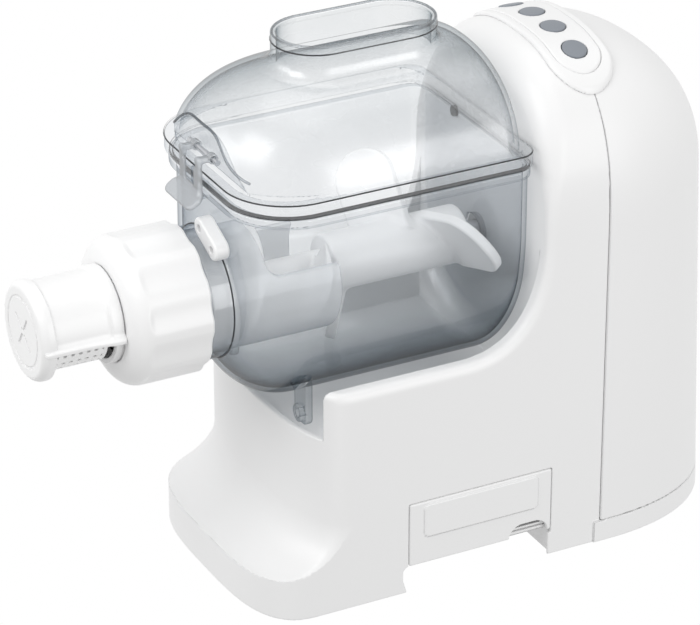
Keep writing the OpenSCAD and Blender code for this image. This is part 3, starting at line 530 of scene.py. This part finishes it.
def rear_cover(x, y, z):
    form = rear_form(x, y, z)
    d = rmax(form, TRAY_Z + 0.4 - z, 0.6)
    d = rmax(d, SEAM_Y + 0.4 - y, 0.5)
    d = np.maximum(d, -form - WALL)
    vents = np.abs(repeat(z - 57.5, 8)) - 1.5
    vents = both(vents, np.abs(x) - 30, 58 - z, z - 113, 330 - y)
    d = cut(d, vents, 0.4)
    d = cut(d, np.hypot(x, z - CORD_Z) - 6.2, 0.2)
    return cut_buttons(d, x, y, z, BUTTON_HOLE)


def base_plate(x, y, z):
    mid, z1 = 71.5, BASE_Z + 2.4
    front = both(foot_plan(x, y) + 3.3, span(z, BASE_Z, z1), y - UNDER_Y)
    deck = either(box3(x, y, z, (-mid, mid, 180.6, UNDER_Y, BASE_Z, 19), 0.3),
                  box3(x, y, z, (-mid, mid, 180.6, 276.8, 16.6, 19), 0.3),
                  box3(x, y, z, (-mid, mid, 274.4, 276.8, BASE_Z, 19), 0.3),
                  box3(x, y, z, (-mid, mid, 274.4, 307, BASE_Z, z1), 0.3))
    floor = both(rear_form(x, y, z) + 3.2, span(z, BASE_Z, z1), SEAM_Y - 1 - y)
    return either(front, deck, floor)


make("tower_front_and_foot", front_housing, (-77, 99, 0), (77, 400, 284), 1.0, CASING,
     "housing", "front_housing")
make("rounded_rear_cover", rear_cover, (-77, 304, 13), (77, 400, 284), 1.0, CASING,
     "housing", "rear_cover")
make("base_underside", base_plate, (-77, 99, 0), (77, 400, 20), 1.0, CASING,
     "housing", "base_plate")


def bezel(x, y, z):
    a = arch(x, z)
    d = both(rmax(a - 2.2, stadium(x, y - SEAM_Y, 37.5, 18.5), 1.8), 0.1 - a, ARCH_Z - z)
    return cut(d, stadium(x, y - SEAM_Y, 34.65, 13.85), 0.4)


def strip(x, y, z):
    a = arch(x, z)
    d = both(rmax(a - 2.5, stadium(x, y - SEAM_Y, 34.6, 13.7), 0.8), 0.1 - a, ARCH_Z - z)
    return cut_buttons(d, x, y, z, BUTTON_HOLE + 0.1, 0.3)


def button_at(bx):
    """The field of one button, with its cap and its stem."""
    def button(x, y, z):
        u, t = button_frame(bx, x, z)
        r = np.hypot(u, y - SEAM_Y)
        d = rmax(r - 6.8, np.maximum(t - 3.1 + 0.006 * r * r, -2.4 - t), 0.7)
        return either(d, both(r - 2.5, span(t, -4.4, 0)))
    return button


make("control_frame", bezel, (-58, 284, 255), (58, 325, 286), 0.6, CASING,
     "housing", "control_bezel")
make("control_panel", strip, (-52, 290, 255), (52, 320, 286), 0.6, CASING,
     "housing", "control_strip")
for i, bx in enumerate(BUTTON_XS):
    make(f"push_button_{i + 1}", button_at(bx), (bx - 10, 296, 262), (bx + 10, 314, 287), 0.45,
         BUTTON, f"button_{i + 1}", f"button_{i + 1}")


def drawer(x, y, z):
    front = box3(x, y, z, (72, 75.2, 186.4, 273.8, 16.9, 54.8), 1.2)
    pad = rmax(box2(y - 230.1, z - 42.9, 35.2, 9.9, 3), span(x, 74, 76), 0.8)
    body = box3(x, y, z, (-44, 74, 188.4, 271.8, 19.3, 53.8), 1)
    body = cut(body, box3(x, y, z, (-42, 72, 190.4, 269.8, 21.3, 70), 1))
    d = either(front, pad, body)
    slot = rmax(box2(y - 259.8, z - 16.6, 12, 8, 7.9), span(x, 71.5, 80), 0.5)
    return cut(d, slot, 0.4)


make("drawer_front_and_tray", drawer, (-45, 185, 15), (77, 275, 56), 0.9, CASING,
     "drawer", "storage_drawer")

# ---------------------------------------------------------------- bowl and lid


def bowl_solid(x, y, z):
    drum = np.where(z > AXIS_Z, np.abs(x), radial(x, z)) - BOWL_R
    d = rmax(drum, BOWL_Y - y, 34)
    return rmax(d, y - BOWL_BACK, 18 - 8 * ramp(z, 130, 190))


def mixing_bowl(x, y, z):
    body = bowl_solid(x, y, z)
    outer = both(body, z - RIM_Z)
    rim_plan = plan2(x, y, BOWL_R + 3.5, BOWL_Y - 3.5, BOWL_BACK, RIM_RF, RIM_RB)
    rim = rmax(rim_plan, span(z, RIM_Z - 5, RIM_Z), 0.8)
    rad = radial(x, z)
    neck = rmax(rad - NECK_R, span(y, 92, 111), 0.8)
    lug = rmax(box2(np.abs(x) - LUG_X, z - 126, 7, 22.8, 4), span(y, 137, 141), 0.6)
    eye = np.hypot(np.abs(x) - LUG_X, z - LUG_Z)
    ring = rmax(eye - 5, span(y, 135, 139), 0.6)
    hook = either(box3(x, y, z, (-4.5, 4.5, 98.6, 106, 224, 231), 0.5),
                  box3(x, y, z, (-4.5, 4.5, 98.6, 101.4, 226, 240), 0.5))
    d = either(rmin(outer, neck, 1.5), rim, lug, ring, hook)
    d = cut(d, body + CLEAR_WALL, 0.5)
    d = cut(d, both(rad - 33.3, y - 115, 91 - y), 0.3)
    d = cut(d, both(rad - 9, 260 - y), 0.2)
    return cut(d, both(eye - 2.5, span(y, 130, 142)), 0.3)


def lid_solid(x, y, z):
    """Dome: an arch across, drawn in to a round nose in front and a tighter curve behind."""
    u, v = np.abs(x) / DOME_W, np.maximum(z - DOME_Z, 0) / (DOME_TOP - DOME_Z)
    a = (u ** DOME_N + v ** DOME_N + 1e-9) ** (1 / DOME_N)
    front = y < 200
    reach, m = np.where(front, 75, 20), np.where(front, 2.5, 2.8)
    b = np.maximum(np.where(front, 170 - y, y - 246), 0) / reach
    s = (a ** m + b ** m) ** (1 / m)
    across, along = (a / s) ** (m - 1), (b / s) ** (m - 1)
    slope = np.sqrt((across * (u / a) ** (DOME_N - 1) / DOME_W) ** 2 + (along / reach) ** 2
                    + (across * (v / a) ** (DOME_N - 1) / (DOME_TOP - DOME_Z)) ** 2)
    return (s - 1) / np.maximum(slope, 0.005)


def scoop_top(x):
    """Upper edge of the recess that the latch stands in."""
    return LID_Z + 0.6 + 22.5 / (1 + (x / 31) ** 4)


def bowl_lid(x, y, z):
    solid, top = lid_solid(x, y, z), scoop_top(x)
    skirt_plan = plan2(x, y, SKIRT_W, SKIRT_Y, BOWL_BACK, RIM_RF, RIM_RB)
    skirt = rmax(skirt_plan, span(z, 233.1, LID_Z), 0.7)
    chute = stadium(y - CHUTE_Y, x, CHUTE_HALF, CHUTE_R)
    scoop = rmax((z - top) * 0.75, y - 108, 4)
    dome = both(cut(solid, scoop, 1.2), LID_Z - 1 - z)
    inner = np.maximum(solid + CLEAR_WALL, 110.5 - y)
    inner = np.maximum(inner, -rmax((z - top - 2.5) * 0.75, y - 110.5, 4))
    below = both(skirt_plan + 6, z - LID_Z - 1)
    tube = rmax(chute, span(z, 272, CHUTE_TOP), 0.8)
    d = either(rmin(dome, tube, 7), skirt)
    d = cut(d, either(inner, below), 0.4)
    return cut(d, rmax(chute + 3, 262 - z, 0.1), 0.6)


def latch(x, y, z):
    pin = np.hypot(y - LATCH_Y, z - LATCH_Z)
    hub = rmax(pin - 2.8, np.abs(x) - 12, 0.5)
    plate = box3(x, y, z, (-12, 12, LATCH_PLATE_Y, 98.3, 229, 250.5), 1.3)
    arm = box3(x, y, z, (-12, 12, LATCH_PLATE_Y, LATCH_Y, 247.5, 250.5), 1.3)
    yr, zr = turn(y - LATCH_PLATE_Y, z - 231, 57)
    tab = rmax(box2(x, zr + 4.4, 16, 5.4, 4.5), span(yr, 0, 2.7), 1.2)
    d = rmin(either(hub, arm), rmin(plate, tab, 2.5), 1.0)
    frame = rmax(box2(x, z - 239, 8.2, 7.5, 2.5), 97 - y, 0.4)
    d = cut(d, both(frame, y - 99), 0.5)
    window = rmax(box2(x, z - 239.5, 5.6, 6, 1.5), span(y, 90, 99.5), 0.3)
    d = cut(d, window, 0.5)
    d = cut(d, box3(x, y, z, (-7.6, 7.6, 90, 110, 244, 254), 1.5), 0.5)
    return cut(d, pin - 1.55, 0.1)


def seal(x, y, z):
    plan = plan2(x, y, BOWL_R + 3.2, BOWL_Y - 3.2, BOWL_BACK, 35.7, 10.7)
    return rmax(rmax(plan, -plan - 2.2, 0.3), span(z, 231.15, 232.95), 0.5)


def arc(cx, cy, rad, start, sweep, step):
    """Points of an arc; angles in whole degrees."""
    turns = [math.radians(start + t) for t in range(0, sweep + 1, step)]
    return [(cx + rad * math.cos(a), cy + rad * math.sin(a)) for a in turns]


def rounded(w, y1, y2, rf, rb):
    """Outline of the bowl's plan, anticlockwise from the rear right corner."""
    corners = ((w - rb, y2 - rb, rb, 0), (rb - w, y2 - rb, rb, 90),
               (rf - w, y1 + rf, rf, 180), (w - rf, y1 + rf, rf, 270))
    return [p for cx, cy, rad, start in corners for p in arc(cx, cy, rad, start, 90, 6)]


def bead(name, path, rad, mat, body, node, closed=True, sides=8):
    """A thin bead along a path: painted shade for an edge that shows as a dark line."""
    p = np.array(path, float)
    if closed:
        t = np.roll(p, -1, 0) - np.roll(p, 1, 0)
    else:
        t = np.gradient(p, axis=0)
    t /= np.linalg.norm(t, axis=1)[:, None]
    up = np.where(np.abs(t[:, 2:3]) > 0.9, [[1.0, 0, 0]], [[0, 0, 1.0]])
    a = np.cross(t, up)
    a /= np.linalg.norm(a, axis=1)[:, None]
    b = np.cross(t, a)
    ang = np.arange(sides) * 2 * math.pi / sides
    off = a[:, None] * np.cos(ang)[None, :, None] + b[:, None] * np.sin(ang)[None, :, None]
    v = ((p[:, None] + rad * off).reshape(-1, 3) - [0, Y_MID, 0]) / 1000
    n = len(p)
    faces = []
    for i in range(n if closed else n - 1):
        here, ahead = i * sides, (i + 1) % n * sides
        for k in range(sides):
            k2 = (k + 1) % sides
            faces.append((here + k, here + k2, ahead + k2, ahead + k))
    if not closed:
        faces += [tuple(range(sides))[::-1], tuple(range((n - 1) * sides, n * sides))]
    me = bpy.data.meshes.new(name)
    me.from_pydata(v.tolist(), [], faces)
    bm = bmesh.new()
    bm.from_mesh(me)
    bmesh.ops.recalc_face_normals(bm, faces=bm.faces)
    bm.to_mesh(me)
    bm.free()
    me.shade_smooth()
    me.materials.append(mat)
    ob = add_object(name, me)
    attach(ob, body)
    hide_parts(node)


def dome_front(x, z, lo=90, hi=150):
    """Where the front of the dome's skin lies at x and z, by halving."""
    for _ in range(40):
        mid = (lo + hi) / 2
        if lid_solid(*np.array([[x], [mid], [z]], float))[0] > 0:
            lo = mid
        else:
            hi = mid
    return (lo + hi) / 2


def chute_path(rad, z):
    """Outline of the chute at height z."""
    ends = ((CHUTE_Y + CHUTE_HALF, 0), (CHUTE_Y - CHUTE_HALF, 180))
    return [(x, y, z) for cy, start in ends for x, y in arc(0, cy, rad, start, 180, 10)]


# beads of painted shade: dark lines where the lid's skirt, the chute's rim and lip, the latch
# recess and the bowl's neck are seen edge on
skirt = rounded(SKIRT_W, SKIRT_Y, BOWL_BACK - 0.4, RIM_RF, RIM_RB)
bead("lid_skirt_line", [(x, y, 240.9) for x, y in skirt], 0.45, SEAL_AND_EDGE_SHADE, "lid", "bowl_lid")
bead("chute_rim_line", chute_path(22.6, 303.3), 0.62, RIM_SHADE, "lid", "bowl_lid")
bead("chute_lip_line", chute_path(CHUTE_R, 299.6), 0.45, SEAL_AND_EDGE_SHADE, "lid", "bowl_lid")
edge = [(x, scoop_top(x) + 1.4) for x in (i * 1.7 for i in range(-26, 27))]
bead("latch_recess_line", [(x, dome_front(x, z), z) for x, z in edge], 0.7, SOFT_SHADE,
     "lid", "bowl_lid", closed=False)
neck = arc(0, AXIS_Z, NECK_LINE_R, 0, 354, 6)
bead("neck_line", [(x, NECK_LINE_Y, z) for x, z in neck], 0.45, SEAL_AND_EDGE_SHADE, "bowl", "mixing_bowl")
# the lid's seal is partly the real dark gasket and partly painted shade of the gap between bowl and
# lid
make("lid_seal", seal, (-66, 101, 230), (66, 267, 234), 0.6, SEAL_AND_EDGE_SHADE, "bowl", "bowl_gasket")
make("clear_bowl", mixing_bowl, (-66.5, 90, 101), (66.5, 267, 241), 1.0, SMOKY,
     "bowl", "mixing_bowl")
make("clear_lid", bowl_lid, (-69, 94, 232), (69, 267, 305), 1.0, LID, "lid", "bowl_lid")
make("clear_latch", latch, (-17, 84, 220), (17, 109, 253), 0.45, CLEAR, "latch", "lid_latch")

# ---------------------------------------------------------------- nozzle


def locking_ring(x, y, z):
    r = radial(x, z)
    d = rmax(r - 40.5, 46 - y, 11)
    d = rmax(d, y - 90.4, 1.2)
    cell = repeat(angle(x, z), math.pi / 6)
    u, v = r * np.cos(cell), r * np.sin(cell)
    flute = np.hypot(u - 56.9, v) - 17.4
    d = cut(d, rmax(flute, 55 - y, 3), 2.0)
    d = cut(d, r - 25.8, 1.0)
    d = cut(d, both(r - 33.3, 52 - y), 0.3)
    return cut(d, both(r - 36.2, 83.4 - y), 0.3)


def cap_turned(x, z):
    """x and z in the cap's own axes."""
    u, v = turn(x, z - AXIS_Z, CAP_TURN)
    return u, AXIS_Z + v


def cutter_cap(x, y, z):
    x, z = cap_turned(x, z)
    r = radial(x, z)
    zz = z - AXIS_Z
    disc = rmax(rmax(r - 27, y - 8, 1.2), (r - 24.4 - y) * 0.75, 1.5)
    disc = rmax(disc, -y, 0.8)
    lip = rmax(np.abs(r - 19) - 0.7, span(y, -1, 0.45), 0.2)
    hood = both(np.abs(r - 24.4) - 1.2, span(y, 6, 42), -1 - zz)
    flare = 1.4 * ramp(y, 20, 44)
    fin = box2(np.abs(x) - 25.6, zz - 0.3 + 0.4 * ramp(y, 30, 44), 2.6 + flare, 1.2, 0.7)
    fin = rmax(fin, span(y, 1.4, 45.5), 0.6)
    collar = rmax(rmax(np.abs(r - 24.6) - 2.4, span(y, 38.6, 45.6), 0.8), -2 - zz, 0.3)
    plug = rmax(np.abs(r - 24.1) - 1.3, span(y, 42, 50), 0.4)
    low = rmax(np.abs(r - 24.3) - 1.6, span(y, 41.5, 45.6), 0.5)
    d = either(disc, plug, low, rmin(rmin(hood, collar, 1.5), fin, 3.5))
    d = cut(d, lip, 0.3)
    for deg, half, wide in ((36, 11.5, 0.45), (-62, 10.5, 0.8)):
        d = cut(d, both(box2(*turn(x, zz, deg), half, wide, 0.3), y - 0.9), 0.25)
    return either(d, np.maximum(np.sqrt(x ** 2 + (y - 0.9) ** 2 + zz ** 2) - 1.9, -y))


def sleeve(x, y, z):
    x, z = cap_turned(x, z)
    r = radial(x, z)
    ang = np.arctan2(x, -(z - AXIS_Z))
    d = both(np.abs(r - 21.6) - 0.95, span(y, 8.2, 38.3))
    u = repeat(ang + 0.13, 0.26) * 21.6
    v = repeat(y - 12, 4.4)
    holes = both(np.hypot(u, v) - 1.0, np.abs(ang) - 1.5, 10 - y, y - 36)
    return cut(d, holes, 0.2)


def tube(x, y, z):
    r = radial(x, z)
    d = rmax(np.abs(r - 31.2) - 1.8, span(y, 60.15, 168), 0.6)
    d = cut(d, box3(x, y, z, (-40, 40, 127, 180, AXIS_Z + 14, 240), 8), 0.6)
    lug = both(span(np.abs(x), 30.9, 34.5), span(y, 84.4, 91.7), np.abs(z - AXIS_Z) - 9)
    return either(d, lug)


def die(x, y, z):
    r = radial(x, z)
    d = rmax(r - 32.5, span(y, 53, 60), 0.4)
    u = repeat(angle(x, z) + math.pi / 10, math.pi / 5) * 16
    d = cut(d, np.hypot(u, r - 16) - 2, 0.3)
    return cut(d, r - 4.05, 0.2)


def tab(x, y, z):
    u, v = turn(x, z - AXIS_Z, TAB_TURN)
    v = v - TAB_R
    d = rmax(stadium(u, v, 8.5, 5.5), span(y, 96.65, 104.85), 1.3)
    d = cut(d, radial(x, z) - 36.1, 0.3)
    return cut(d, np.hypot(np.abs(u) - 8, v) - 2.1, 0.5)


make("fluted_locking_ring", locking_ring, (-41, 45, 127), (41, 91.5, 210), 0.8, NOZZLE,
     "ring", "locking_ring")
make("cutter_hood", cutter_cap, (-31, -1, 140), (31, 51, 197), 0.6, NOZZLE,
     "cutter", "cutter_cap")
make("perforated_sleeve", sleeve, (-25, 4, 143), (25, 39, 194), 0.5, NOZZLE,
     "cutter", "cutter_sleeve")
make("extruding_tube", tube, (-36, 59, 134), (36, 169, 203), 0.9, FROST, "bowl", "extruder_tube")
make("die_disc", die, (-33, 52, 135), (33, 61, 202), 0.8, NOZZLE, "bowl", "shaping_die")
make("lozenge_release_tab", tab, (-6, 95, 192), (38, 106, 222), 0.5, NOZZLE,
     "bowl", "release_tab")

# ---------------------------------------------------------------- paddle and auger


def arm(x, y, z, yc, deg, w):
    """A blade of width w on the hub, set askew to the axis."""
    u, v = turn(x, z - AXIS_Z, deg)
    s, t = turn(u, y - yc, -ARM_PITCH)
    blade = stadium(s, np.maximum(v - ARM_TOP + w * 0.46, 0), w * 0.04, w * 0.46)
    return rmax(both(blade, 6 - v), np.abs(t) - 3, 1.5)


def paddle(x, y, z):
    r = radial(x, z)
    d = rmax(r - HUB_R, span(y, 173, 255), 2)
    for yc, deg, w in ((188, 200, 26), (212, 320, 36), (243, 72, 40)):
        d = rmin(d, arm(x, y, z, yc, deg, w), 3)
    return cut(d, both(r - 6.5, 242 - y), 0.3)


def auger(x, y, z):
    r = radial(x, z)
    core = rmax(r - 8, span(y, 61, 173.3), 0.8)
    spindle = rmax(r - 4, span(y, 47, 64), 0.4)
    ph = repeat(y - 62 - angle(x, z) / (2 * math.pi) * SCREW_PITCH, SCREW_PITCH)
    flight = both(rmax(np.abs(ph) - 2.2, r - 28.2, 1), span(y, 62, 166))
    return either(rmin(core, flight, 2), spindle)


make("kneading_arms", paddle, (-60, 172, 110), (60, 256, 228), 0.9, PADDLE,
     "paddle", "kneading_paddle")
make("screw_auger", auger, (-30, 46, 139), (30, 174, 199), 0.8, PADDLE, "paddle", "auger")

# ---------------------------------------------------------------- camera, light, stage

cam = bpy.data.cameras.new("camera")
cam.lens = FOCAL_PX * SENSOR / PICTURE_PX
cam.clip_end = 20
co = add_object("camera", cam)
co.location = CAMERA_AT
az, el = math.radians(AZIMUTH), math.radians(ELEVATION)
fwd = Vector((-math.sin(az) * math.cos(el), math.cos(az) * math.cos(el), -math.sin(el)))
co.rotation_euler = fwd.to_track_quat("-Z", "Y").to_euler()
bpy.context.scene.camera = co

# the machine is seen and reflected against white; what lights it is dimmer
world = bpy.data.worlds.new("world")
bpy.context.scene.world = world
world.use_nodes = True
wn = world.node_tree
dim = wn.nodes["Background"]
dim.inputs[0].default_value = WHITE
dim.inputs[1].default_value = AMBIENT
bright = node(wn, "Background", WHITE, 1.0)
rays = node(wn, "LightPath").outputs
through = node(wn, "Math", rays["Is Glossy Ray"], rays["Is Transmission Ray"],
               operation="MAXIMUM")
seen = node(wn, "Math", rays["Is Camera Ray"], through.outputs[0], operation="MAXIMUM")
backdrop = node(wn, "MixShader", seen.outputs[0], dim.outputs[0], bright.outputs[0])
wn.links.new(backdrop.outputs[0], wn.nodes["World Output"].inputs[0])


def area(name, loc, aim, size, power):
    """A lamp of size w x h metres at loc that shines towards aim."""
    li = bpy.data.lights.new(name, "AREA")
    li.shape = "RECTANGLE"
    li.size, li.size_y = size
    li.energy = power
    ob = add_object(name, li)
    ob.location = loc
    ob.rotation_euler = (Vector(aim) - Vector(loc)).to_track_quat("-Z", "Y").to_euler()


area("key", (0.3, -1.2, 1.3), (0, 0, 0.15), (0.9, 0.9), 8.5)
area("front", (-0.6, -1.8, 1.0), (0, -0.1, 0.1), (1.2, 0.9), 8)
area("side", (1.5, 0.55, 0.5), (0, 0, 0.15), (0.9, 1.1), 8.5)
area("top", (-0.2, 0.2, 1.6), (0, 0, 0.2), (1.2, 1.2), 4.5)
bpy.context.scene.view_settings.view_transform = "Standard"
bpy.context.scene.cycles.transparent_max_bounces = 40
